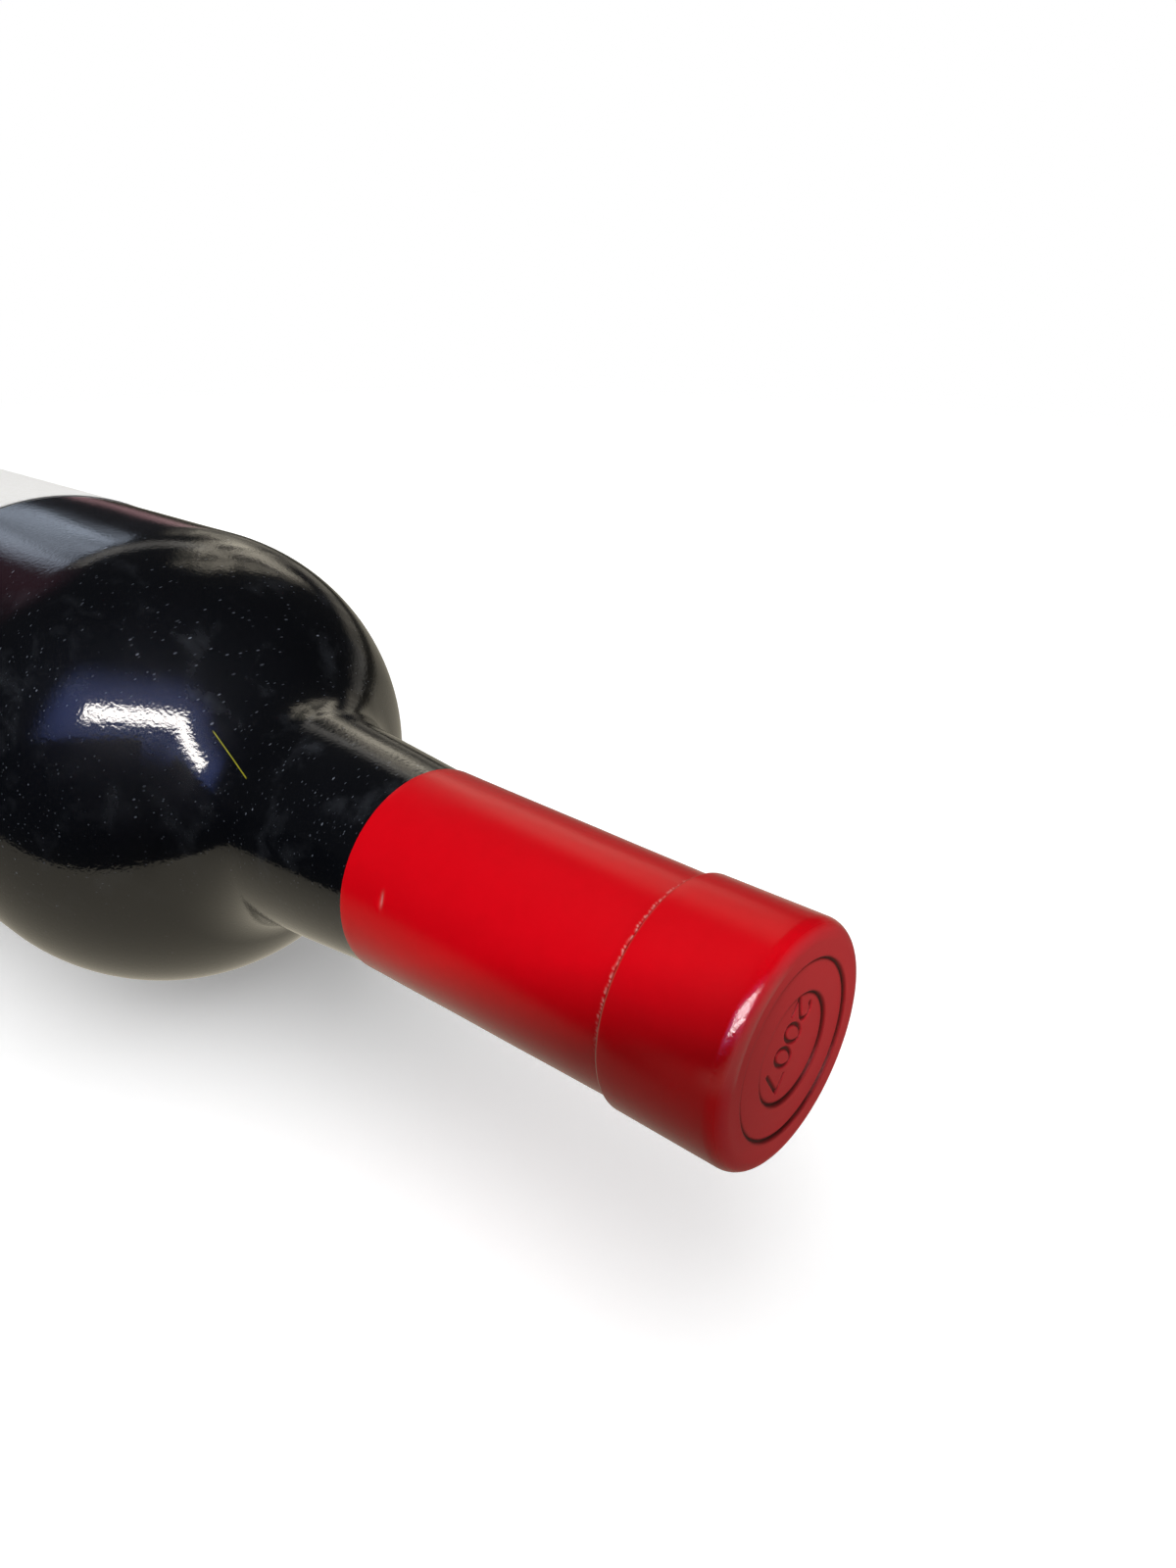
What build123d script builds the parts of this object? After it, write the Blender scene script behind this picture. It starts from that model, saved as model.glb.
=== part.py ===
"""A shut 750 ml claret wine bottle lying on its side, with a red capsule and a plain label.

Frame: millimetres, +Z up, the bottle's axis along X with the neck towards +X.
The origin is the centre of the bounding box's bottom, on the strip that the body rests on.
Every outline below is drawn in "bottle" coordinates (x, r): x runs along the axis from the
base (x = 0) to the end of the capsule (x = overall_length), and r is the distance from the axis.
"""
from build123d import *
from math import asin, atan2, cos, degrees, hypot, radians, sin, sqrt
import os

# Overall sizes
overall_length = 300.0        # base to the end face of the capsule
body_diameter = 76.5          # straight part of the glass body
body_length = 180.6           # base to where the shoulder starts to curve in

# Shoulder and neck
shoulder_radius = 32.3        # convex arc, tangent to the body
neck_root_radius = 14.6       # concave arc between the shoulder and the neck
neck_taper = 0.09             # growth of the neck's radius per millimetre below the capsule

# Base
heel_radius = 7.0             # rounding between the body and the base
bearing_width = 3.5           # ring that the bottle stands on when it is upright
punt_depth = 24.0             # hollow pushed up into the base
punt_lip_radius = 1.5         # rounding where the punt leaves the bearing ring
resting_flat_depth = 0.15     # how deep the strip under the lying body is cut

# Capsule, a thin foil over the neck and the mouth's collar
capsule_length = 59.2         # end face to the lower edge
collar_length = 16.3          # end face to the step under the collar
collar_diameter = 30.0
collar_end_rounding = 2.1     # edge between the collar and the end face
collar_rim_rounding = 0.5     # edge of the step
collar_step = 0.68            # how far the collar stands out from the sleeve
sleeve_flare = 0.61           # growth of the sleeve's radius from the step to the lower edge
foil_wall = 0.3
end_wall = 1.8                # foil and its pressed seal over the mouth

# Two plain rings pressed into the end face, each the edge of a shallow recess
outer_ring_inset = 4.27       # from the collar's side
ring_spacing = 4.09           # from the outer ring to the inner ring
ring_width = 0.6
ring_depth = 0.3              # below the recess inside the ring
recess_step = 0.3             # each recess lies this much deeper than what is round it

# Label, one sheet of paper on the side that faces up
label_start = 154.0           # end face of the capsule to the label's upper edge
label_height = 120.0          # along the bottle
label_width = 96.0            # round the body
paper_thickness = 0.2

# Worked out from the sizes above
body_radius = body_diameter / 2
collar_radius = collar_diameter / 2
collar_step_x = overall_length - collar_length
capsule_edge_x = overall_length - capsule_length
outer_ring_radius = collar_radius - outer_ring_inset
inner_ring_radius = outer_ring_radius - ring_spacing
axis_height = body_radius - resting_flat_depth


def sleeve_radius(x, wall=0.0):
    """Radius of the capsule's sleeve at x, less a wall: a straight taper from step to lower edge."""
    share = (collar_step_x - x) / (collar_step_x - capsule_edge_x)
    return collar_radius - collar_step + share * sleeve_flare - wall


def neck_root():
    """Ends and middle of the concave arc that touches both the neck's cone and the shoulder's arc.

    Its centre is neck_root_radius outside the cone, and the two radii added up from the
    shoulder's centre.
    """
    shoulder_x, shoulder_r = body_length, body_radius - shoulder_radius
    slant = hypot(1, neck_taper)
    edge_r = sleeve_radius(capsule_edge_x, foil_wall)
    # The line of possible centres: r = start_r - neck_taper * x
    start_r = edge_r + neck_taper * capsule_edge_x + neck_root_radius * slant
    reach = shoulder_radius + neck_root_radius
    a = 1 + neck_taper**2
    b = -2 * (shoulder_x + neck_taper * (start_r - shoulder_r))
    c = shoulder_x**2 + (start_r - shoulder_r) ** 2 - reach**2
    centre_x = (-b + sqrt(b * b - 4 * a * c)) / (2 * a)
    centre_r = start_r - neck_taper * centre_x
    neck_end = (centre_x - neck_root_radius * neck_taper / slant, centre_r - neck_root_radius / slant)
    towards = atan2(shoulder_r - centre_r, shoulder_x - centre_x)
    shoulder_end = (centre_x + neck_root_radius * cos(towards), centre_r + neck_root_radius * sin(towards))
    half = (atan2(neck_end[1] - centre_r, neck_end[0] - centre_x) + towards) / 2
    middle = (centre_x + neck_root_radius * cos(half), centre_r + neck_root_radius * sin(half))
    return neck_end, middle, shoulder_end


def shoulder_middle(end):
    """A point half way round the shoulder's arc, between its end at the neck root and the body."""
    centre_r = body_radius - shoulder_radius
    end_angle = atan2(end[1] - centre_r, end[0] - body_length)
    half = (end_angle + radians(90)) / 2
    return (body_length + shoulder_radius * cos(half), centre_r + shoulder_radius * sin(half))


def punt_arc(lip_r):
    """Middle and apex of the punt's dome, an arc of a circle that is centred on the axis."""
    dome_radius = (lip_r**2 + punt_depth**2) / (2 * punt_depth)
    half = asin(min(1.0, lip_r / dome_radius)) / 2
    if punt_depth > dome_radius:
        half = radians(90) - half
    middle = (punt_depth - dome_radius * (1 - cos(half)), dome_radius * sin(half))
    return middle, (punt_depth, 0)


def make_bottle():
    """The glass and what it holds, as one shut solid: the outside of the bottle, turned round X."""
    mouth_x = overall_length - end_wall
    finish_r = collar_radius - foil_wall
    finish_step_x = collar_step_x + foil_wall
    mouth_rounding = max(collar_end_rounding - foil_wall, 0.2)
    neck_end, root_middle, shoulder_end = neck_root()
    lip_r = body_radius - heel_radius - bearing_width
    dome_middle, dome_top = punt_arc(lip_r)
    heel_middle = heel_radius * (1 - cos(radians(45)))

    with BuildPart() as bottle:
        with BuildSketch(Plane.XZ):
            with BuildLine():
                Polyline((punt_depth, 0), (mouth_x, 0), (mouth_x, finish_r - mouth_rounding))
                RadiusArc((mouth_x, finish_r - mouth_rounding), (mouth_x - mouth_rounding, finish_r),
                          -mouth_rounding)
                Polyline(
                    (mouth_x - mouth_rounding, finish_r),
                    (finish_step_x, finish_r),
                    (finish_step_x, sleeve_radius(collar_step_x, foil_wall)),
                    (capsule_edge_x, sleeve_radius(capsule_edge_x, foil_wall)),
                    neck_end,
                )
                ThreePointArc(neck_end, root_middle, shoulder_end)
                ThreePointArc(shoulder_end, shoulder_middle(shoulder_end), (body_length, body_radius))
                Line((body_length, body_radius), (heel_radius, body_radius))
                ThreePointArc((heel_radius, body_radius), (heel_middle, body_radius - heel_middle),
                              (0, body_radius - heel_radius))
                Line((0, body_radius - heel_radius), (0, lip_r))
                ThreePointArc((0, lip_r), dome_middle, dome_top)
            make_face()
        revolve(axis=Axis.X)
        lip = bottle.edges().filter_by(GeomType.CIRCLE).filter_by_position(Axis.X, -0.01, 0.01)
        fillet(lip.sort_by(SortBy.RADIUS)[0], punt_lip_radius)
        # The strip that keeps the lying bottle still
        with Locations((overall_length / 2, 0, -axis_height)):
            Box(overall_length, body_diameter, body_radius,
                align=(Align.CENTER, Align.CENTER, Align.MAX), mode=Mode.SUBTRACT)
    return bottle.part


def end_face_points():
    """The end face from the axis outwards: two recesses, each with a groove inside its edge."""
    points = [(overall_length - 2 * recess_step, 0)]
    for rings_left, ring_radius in ((2, inner_ring_radius), (1, outer_ring_radius)):
        inside_x = overall_length - rings_left * recess_step
        outside_x = inside_x + recess_step
        points += [
            (inside_x, ring_radius - ring_width / 2),
            (inside_x - ring_depth, ring_radius - ring_width / 4),
            (inside_x - ring_depth, ring_radius + ring_width / 4),
            (outside_x, ring_radius + ring_width / 2),
        ]
    return points


def make_capsule():
    """The foil: its outside less the bottle's outside, so that it fits the neck face to face."""
    rim_x = collar_step_x
    root_r = sleeve_radius(collar_step_x)
    edge_start = (overall_length, collar_radius - collar_end_rounding)
    with BuildPart() as capsule:
        with BuildSketch(Plane.XZ):
            with BuildLine():
                Polyline((capsule_edge_x, 0), *end_face_points(), edge_start)
                RadiusArc(edge_start, (overall_length - collar_end_rounding, collar_radius),
                          -collar_end_rounding)
                Line((overall_length - collar_end_rounding, collar_radius),
                     (rim_x + collar_rim_rounding, collar_radius))
                RadiusArc((rim_x + collar_rim_rounding, collar_radius),
                          (rim_x, collar_radius - collar_rim_rounding), -collar_rim_rounding)
                Polyline((rim_x, collar_radius - collar_rim_rounding), (rim_x, root_r),
                         (capsule_edge_x, sleeve_radius(capsule_edge_x)), (capsule_edge_x, 0))
            make_face()
        revolve(axis=Axis.X)
    return capsule.part


def make_label():
    """One sheet of paper bent round the upper side of the body."""
    half_angle = degrees(label_width / body_radius) / 2
    outer_radius = body_radius + paper_thickness
    start, size = 90 - half_angle, 2 * half_angle
    label_end_x = overall_length - label_start - label_height

    def rim(radius, angle):
        return (radius * cos(radians(angle)), radius * sin(radians(angle)))

    with BuildPart() as label:
        with BuildSketch(Plane.YZ.offset(label_end_x)):
            with BuildLine():
                CenterArc((0, 0), body_radius, start, size)
                CenterArc((0, 0), outer_radius, start, size)
                Line(rim(body_radius, start), rim(outer_radius, start))
                Line(rim(body_radius, start + size), rim(outer_radius, start + size))
            make_face()
        extrude(amount=label_height)
    return label.part


def place(solid):
    """Move a solid from bottle coordinates to the part's own frame."""
    return Pos(-overall_length / 2, 0, axis_height) * solid


bottle = make_bottle()
capsule = make_capsule() - bottle
label = make_label()

os.makedirs("parts", exist_ok=True)
for name, solid in (("bottle", bottle), ("capsule", capsule), ("label", label)):
    placed = place(solid)
    box = placed.bounding_box()
    print(f"{name}: {placed.volume / 1000:.2f} cm3, x {box.min.X:.2f}..{box.max.X:.2f}, "
          f"y {box.min.Y:.2f}..{box.max.Y:.2f}, z {box.min.Z:.2f}..{box.max.Z:.2f}")
    export_step(placed, f"parts/{name}.step")
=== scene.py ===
"""Looks of a shut claret wine bottle that lies on its side: dark glass, red foil capsule, blank label.

Lengths are in metres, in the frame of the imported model: X along the bottle with the neck towards +X,
Z up, and the surface that the bottle lies on at z = 0. Sizes written as N * MM are real millimetres.
"""
import logging
import math
from dataclasses import dataclass, field
from enum import Enum
from typing import Callable, Optional

import bpy
import numpy as np
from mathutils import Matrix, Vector


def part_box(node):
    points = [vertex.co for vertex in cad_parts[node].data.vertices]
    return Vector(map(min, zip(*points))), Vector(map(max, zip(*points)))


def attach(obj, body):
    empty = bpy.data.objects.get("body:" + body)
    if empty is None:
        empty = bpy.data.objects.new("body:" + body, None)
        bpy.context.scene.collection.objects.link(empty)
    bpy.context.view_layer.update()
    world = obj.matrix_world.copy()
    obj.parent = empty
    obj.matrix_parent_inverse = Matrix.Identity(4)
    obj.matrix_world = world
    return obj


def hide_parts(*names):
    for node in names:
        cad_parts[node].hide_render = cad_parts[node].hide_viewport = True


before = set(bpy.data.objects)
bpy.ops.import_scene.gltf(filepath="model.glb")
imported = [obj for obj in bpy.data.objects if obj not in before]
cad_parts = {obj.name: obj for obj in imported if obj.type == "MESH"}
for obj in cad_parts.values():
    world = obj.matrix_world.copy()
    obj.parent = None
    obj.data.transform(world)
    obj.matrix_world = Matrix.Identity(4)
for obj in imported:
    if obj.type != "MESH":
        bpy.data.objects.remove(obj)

MM = 0.001
LOG = logging.getLogger("wine_bottle")
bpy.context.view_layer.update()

Array = np.ndarray
Relief = Callable[[Array, Array, Array], Array]


# ---------------------------------------------------------------- colours and nodes

def linear(hex_colour: str) -> tuple[float, float, float, float]:
    """Turn an sRGB hex colour into linear RGBA.

    Args:
        hex_colour: six hex digits after a hash sign.

    Returns:
        Linear red, green and blue, and an alpha of 1.
    """
    srgb = [int(hex_colour[i:i + 2], 16) / 255 for i in (1, 3, 5)]
    rgb = [c / 12.92 if c <= 0.04045 else ((c + 0.055) / 1.055) ** 2.4 for c in srgb]
    return (rgb[0], rgb[1], rgb[2], 1.0)


def add(tree: bpy.types.NodeTree, kind: str, inputs: Optional[dict] = None, **settings) -> bpy.types.Node:
    """Add one node, set its properties, and fill or link its inputs.

    Args:
        tree: the node tree to add to.
        kind: the node's type name.
        inputs: input name or index to a value, or to the output socket to link from.
        settings: node properties, such as operation.

    Returns:
        The new node.
    """
    node = tree.nodes.new(kind)
    for name, value in settings.items():
        setattr(node, name, value)
    for key, value in (inputs or {}).items():
        if isinstance(value, bpy.types.NodeSocket):
            tree.links.new(value, node.inputs[key])
        else:
            node.inputs[key].default_value = value
    return node


def layered(tree: bpy.types.NodeTree, base: str,
            tints: tuple[tuple[bpy.types.NodeSocket, str], ...]) -> bpy.types.NodeSocket:
    """Lay tints over a base colour, each as far as its own mask says.

    Args:
        tree: the material's tree.
        base: the hex colour underneath.
        tints: pairs of a mask and the hex colour that it lays on, the lowest first.

    Returns:
        The socket of the colour on top.
    """
    colour = linear(base)
    for mask, tint in tints:
        mix = add(tree, "ShaderNodeMix", {0: mask, 6: colour, 7: linear(tint)}, data_type="RGBA")
        colour = mix.outputs[2]
    return colour


def empty_material(name: str) -> tuple[bpy.types.Material, bpy.types.NodeTree, bpy.types.Node]:
    """Make a material whose tree holds only its output.

    Args:
        name: the material's name.

    Returns:
        The material, its tree and the output node.
    """
    material = bpy.data.materials.new(name)
    material.use_nodes = True
    tree = material.node_tree
    tree.nodes.clear()
    return material, tree, add(tree, "ShaderNodeOutputMaterial")


# ---------------------------------------------------------------- surfaces

def line(start: tuple[float, float], end: tuple[float, float], count: int) -> Array:
    """Points evenly spaced along a straight run, without its last point."""
    share = np.linspace(0, 1, count, endpoint=False)[:, None]
    return np.array(start) * (1 - share) + np.array(end) * share


def arc(centre: tuple[float, float], radius: float, start: float, end: float, count: int) -> Array:
    """Points evenly spaced round an arc, from angle start to angle end in radians, without its last point."""
    angle = np.linspace(start, end, count, endpoint=False)
    return np.stack([centre[0] + radius * np.cos(angle), centre[1] + radius * np.sin(angle)], 1)


def smooth_step(value: Array, low: float, high: float) -> Array:
    """Zero below low, one above high, and a cubic ease between."""
    t = np.clip((value - low) / (high - low), 0, 1)
    return t * t * (3 - 2 * t)


def new_piece(name: str, points: Array, faces: Array, attributes: dict[str, Array]) -> bpy.types.Object:
    """Put points and faces into a smooth-shaded mesh object at the origin.

    Args:
        name: the piece's name.
        points: vertex positions, one row each.
        faces: quads as rows of four vertex numbers. A row that repeats its last number is a triangle.
        attributes: name to one number per vertex, kept on the mesh for its material.

    Returns:
        The new object, linked to the scene.
    """
    is_quad = faces[:, 2] != faces[:, 3]
    sizes = np.where(is_quad, 4, 3)
    keep = np.ones(faces.shape, bool)
    keep[~is_quad, 3] = False
    mesh = bpy.data.meshes.new(name)
    mesh.vertices.add(len(points))
    mesh.vertices.foreach_set("co", points.astype(np.float32).ravel())
    mesh.loops.add(int(sizes.sum()))
    mesh.loops.foreach_set("vertex_index", faces[keep].astype(np.int32))
    mesh.polygons.add(len(faces))
    starts = np.concatenate([[0], np.cumsum(sizes)[:-1]])
    mesh.polygons.foreach_set("loop_start", starts.astype(np.int32))
    mesh.update(calc_edges=True)
    mesh.validate()
    mesh.polygons.foreach_set("use_smooth", np.ones(len(mesh.polygons), bool))
    for key, values in attributes.items():
        layer = mesh.attributes.new(key, "FLOAT", "POINT")
        layer.data.foreach_set("value", values.astype(np.float32))
    piece = bpy.data.objects.new(name, mesh)
    bpy.context.collection.objects.link(piece)
    return piece


@dataclass(frozen=True)
class Turned:
    """A closed surface turned round the bottle's axis, whose outline runs from pole to pole."""

    outline: Array          # rows of x and radius, with a radius of 0 first and last
    segments: int
    axis_height: float

    def grid(self) -> tuple[Array, Array, Array]:
        """Spread the outline's points round the axis.

        Returns:
            x, radius and angle of each point between the poles, as grids of outline by segments.
        """
        inner = self.outline[1:-1]
        angle = np.linspace(0, 2 * math.pi, self.segments, endpoint=False)
        x, turn = np.meshgrid(inner[:, 0], angle, indexing="ij")
        radius = np.repeat(inner[:, 1:2], self.segments, 1)
        return x, radius, turn

    def build(self, name: str, relief: Optional[Relief] = None,
              marks: Optional[dict[str, Relief]] = None) -> bpy.types.Object:
        """Turn the outline and raise it along its normal.

        Point = (x, radius cos(turn), axis height + radius sin(turn)), moved along the outline's
        outward normal by the relief. The two poles close the ends.

        Args:
            name: the piece's name.
            relief: height in metres from grids of x, radius and turn.
            marks: attribute name to its value from the same grids.

        Returns:
            The new object.
        """
        x, radius, turn = self.grid()
        rows, columns = x.shape
        tangent = np.gradient(self.outline, axis=0)[1:-1]
        tangent /= np.maximum(np.linalg.norm(tangent, axis=1, keepdims=True), 1e-12)
        # The outline runs so that the outside is on its left: normal = (-dr, dx)
        normal_x, normal_r = -tangent[:, 1:2], tangent[:, 0:1]
        lift = relief(x, radius, turn) if relief else np.zeros_like(x)
        out_x = x + lift * normal_x
        out_r = np.maximum(radius + lift * normal_r, 1e-6)
        ring = np.stack([out_x, out_r * np.cos(turn), self.axis_height + out_r * np.sin(turn)], 2)
        poles = np.array([[self.outline[end, 0], 0, self.axis_height] for end in (0, -1)])
        points = np.concatenate([ring.reshape(-1, 3), poles])
        row = np.arange(rows - 1)[:, None] * columns
        here = np.arange(columns)[None, :]
        after = (here + 1) % columns
        above = row + columns
        quads = np.stack([row + here, row + after, above + after, above + here], 2).reshape(-1, 4)
        first, last = rows * columns, rows * columns + 1
        start_cap = np.stack([np.full(columns, first), after[0], here[0], here[0]], 1)
        end_row = (rows - 1) * columns
        end_after = end_row + after[0]
        end_cap = np.stack([np.full(columns, last), end_row + here[0], end_after, end_after], 1)
        faces = np.concatenate([quads, start_cap, end_cap])
        values = {}
        for key, mark in (marks or {}).items():
            grid = mark(x, radius, turn)
            values[key] = np.concatenate([grid.ravel(), [grid[0].mean(), grid[-1].mean()]])
        return new_piece(name, points, faces, values)


def waves(x: Array, turn: Array, seed: int, height: float, length: float, around: int) -> Array:
    """Gentle waviness: a sum of a few sine waves in x and turn, with seeded phases.

    Height = sum of sin(2 pi x / length_k + n_k turn + phase_k), scaled to stay within height.

    Args:
        x: positions along the axis.
        turn: angles round it.
        seed: seed of the phases.
        height: largest height in metres.
        length: longest wave along the axis in metres.
        around: most waves round the axis.

    Returns:
        Heights of the same shape as x.
    """
    rng = np.random.default_rng(seed)
    total = np.zeros_like(x)
    count = 6
    shortest = 0.35
    for _ in range(count):
        wave = length * rng.uniform(shortest, 1.0)
        turns = rng.integers(0, around + 1)
        total += np.sin(2 * math.pi * x / wave + turns * turn + rng.uniform(0, 6.28))
    return total * height / count


# ---------------------------------------------------------------- finishes

@dataclass(frozen=True)
class BottleGlass:
    """Dark antique green glass, blown in a mould and fire-polished, full of red wine.

    No light comes back through it, so it reads as a black mirror with a blue tint, under a film of
    dust that lies thickest on the upper side.
    """

    body: str = "#050609"
    dust: str = "#8d95a3"
    smear: str = "#a9b0bd"
    # Yellow-green of a painted reflection: a thin lit edge mirrored on the neck's root.
    fibre_and_painted_line: str = "#8c8b22"
    roughness: float = 0.05
    ior: float = 1.52
    film_roughness: float = 0.38
    film_weight: float = 0.16
    cloud_length: float = 22 * MM           # how far apart dusty patches lie
    haze_cover: float = 0.007
    fine_spacing: float = 0.6 * MM
    fine_size: float = 0.20                 # core radius as a share of the spacing
    fine_cover: float = 0.5
    coarse_spacing: float = 1.5 * MM
    coarse_size: float = 0.105
    speck_share: float = 0.6                # how many cells hold a speck
    speck_turn: tuple[float, float, float] = (0.5, 0.7, 0.6)
    speck_stretch: tuple[float, float, float] = (1.0, 0.34, 0.8)
    smear_length: float = 5.5 * MM
    smear_cover: float = 0.06
    ripple_length: float = 0.55 * MM
    ripple_height: float = 0.1 * MM
    ripple_strength: float = 0.22
    painted_line_middle: tuple[float, float, float] = (64.4 * MM, -11.5 * MM, 52.3 * MM)
    painted_line_across: tuple[float, float, float] = (-0.34, -0.83, -0.44)    # square to it, along the glass
    fibre_and_painted_line_length: float = 9.3 * MM
    painted_line_width: float = 0.22 * MM

    def specks(self, tree: bpy.types.NodeTree, place: bpy.types.NodeSocket, spacing: float,
               size: float) -> bpy.types.NodeSocket:
        """Short dust streaks: the cores of stretched Voronoi cells, kept in a share of the cells.

        Args:
            tree: the material's tree.
            place: the coordinates to read.
            spacing: distance between cells in metres.
            size: core radius as a share of the spacing.

        Returns:
            A mask from 0 to 1.
        """
        stretched = add(tree, "ShaderNodeMapping", {"Vector": place, "Rotation": self.speck_turn,
                                                    "Scale": self.speck_stretch})
        cells = add(tree, "ShaderNodeTexVoronoi", {"Vector": stretched.outputs[0], "Scale": 1 / spacing})
        core = add(tree, "ShaderNodeMapRange", {"Value": cells.outputs["Distance"], "From Min": size,
                                                "From Max": size * 0.45, "To Min": 0.0, "To Max": 1.0})
        tone = add(tree, "ShaderNodeSeparateColor", {"Color": cells.outputs["Color"]})
        kept = add(tree, "ShaderNodeMath", {0: tone.outputs[0], 1: 1 - self.speck_share},
                   operation="GREATER_THAN")
        both = add(tree, "ShaderNodeMath", {0: core.outputs[0], 1: kept.outputs[0]}, operation="MULTIPLY")
        varied = add(tree, "ShaderNodeMath", {0: both.outputs[0], 1: tone.outputs[1]}, operation="MULTIPLY")
        return varied.outputs[0]

    def painted_reflection_line(self, tree: bpy.types.NodeTree, place: bpy.types.NodeSocket) -> bpy.types.NodeSocket:
        """A painted reflection of a lit edge: one thin straight yellow-green line on the neck's root.

        It is where the glass lies between two close planes and within half the line's length of
        its middle.

        Args:
            tree: the material's tree.
            place: the coordinates to read.

        Returns:
            A mask from 0 to 1.
        """
        offset = add(tree, "ShaderNodeVectorMath", {0: place, 1: self.painted_line_middle}, operation="SUBTRACT")
        across = add(tree, "ShaderNodeVectorMath", {0: offset.outputs[0], 1: self.painted_line_across},
                     operation="DOT_PRODUCT")
        aside = add(tree, "ShaderNodeMath", {0: across.outputs["Value"]}, operation="ABSOLUTE")
        thin = add(tree, "ShaderNodeMapRange", {"Value": aside.outputs[0], "From Min": self.painted_line_width / 2,
                                                "From Max": self.painted_line_width / 4})
        apart = add(tree, "ShaderNodeVectorMath", {0: offset.outputs[0]}, operation="LENGTH")
        short = add(tree, "ShaderNodeMapRange", {"Value": apart.outputs["Value"],
                                                 "From Min": self.fibre_and_painted_line_length / 2,
                                                 "From Max": self.fibre_and_painted_line_length * 0.46})
        return add(tree, "ShaderNodeMath", {0: thin.outputs[0], 1: short.outputs[0]},
                   operation="MULTIPLY").outputs[0]

    def material(self) -> bpy.types.Material:
        """Build the node material.

        Returns:
            The glass with its dust, smears and a painted reflection of a thin yellow-green line.
        """
        material, tree, output = empty_material("Antique green bottle glass, mould-blown, dusty")
        place = add(tree, "ShaderNodeTexCoord").outputs["Object"]
        settled = add(tree, "ShaderNodeAttribute", attribute_name="dust").outputs["Fac"]
        cloud = add(tree, "ShaderNodeTexNoise", {"Vector": place, "Scale": 1 / self.cloud_length,
                                                 "Detail": 4.0})
        patchy = add(tree, "ShaderNodeMapRange", {"Value": cloud.outputs[0], "From Min": 0.36,
                                                  "From Max": 0.68, "To Min": 0.25})
        amount = add(tree, "ShaderNodeMath", {0: patchy.outputs[0], 1: settled},
                     operation="MULTIPLY").outputs[0]
        fine = self.specks(tree, place, self.fine_spacing, self.fine_size)
        coarse = self.specks(tree, place, self.coarse_spacing, self.coarse_size)
        specks = add(tree, "ShaderNodeMath", {0: fine, 1: self.fine_cover, 2: coarse},
                     operation="MULTIPLY_ADD")
        dusty = add(tree, "ShaderNodeMath", {0: specks.outputs[0], 1: self.haze_cover})
        cover = add(tree, "ShaderNodeMath", {0: dusty.outputs[0], 1: amount}, operation="MULTIPLY",
                    use_clamp=True)
        # Fingers leave dull smears in small patches
        wiped = add(tree, "ShaderNodeTexNoise", {"Vector": place, "Scale": 1 / self.smear_length,
                                                 "Detail": 6.0, "Roughness": 0.6, "Distortion": 0.2})
        smeared = add(tree, "ShaderNodeMapRange", {"Value": wiped.outputs[0], "From Min": 0.53,
                                                   "From Max": 0.80, "To Max": self.smear_cover})
        patch = add(tree, "ShaderNodeMath", {0: smeared.outputs[0], 1: amount}, operation="MULTIPLY")
        # The last tint is that painted reflection, laid as a thin yellow-green line.
        colour = layered(tree, self.body, ((cover.outputs[0], self.dust), (patch.outputs[0], self.smear),
                                           (self.painted_reflection_line(tree, place), self.fibre_and_painted_line)))
        # Mould-blown glass keeps a faint orange-peel ripple, which breaks up sharp reflections. It is
        # drawn finer and steeper than its real waves, so that it shows
        ripple = add(tree, "ShaderNodeTexNoise", {"Vector": place, "Scale": 1 / self.ripple_length,
                                                  "Detail": 2.0})
        bump = add(tree, "ShaderNodeBump", {"Height": ripple.outputs[0], "Strength": self.ripple_strength,
                                            "Distance": self.ripple_height})
        glass = add(tree, "ShaderNodeBsdfPrincipled", {
            "Base Color": colour, "Roughness": self.roughness, "IOR": self.ior,
            "Coat Weight": self.film_weight, "Coat Roughness": self.film_roughness,
            "Normal": bump.outputs[0]})
        tree.links.new(glass.outputs[0], output.inputs["Surface"])
        return material


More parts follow.
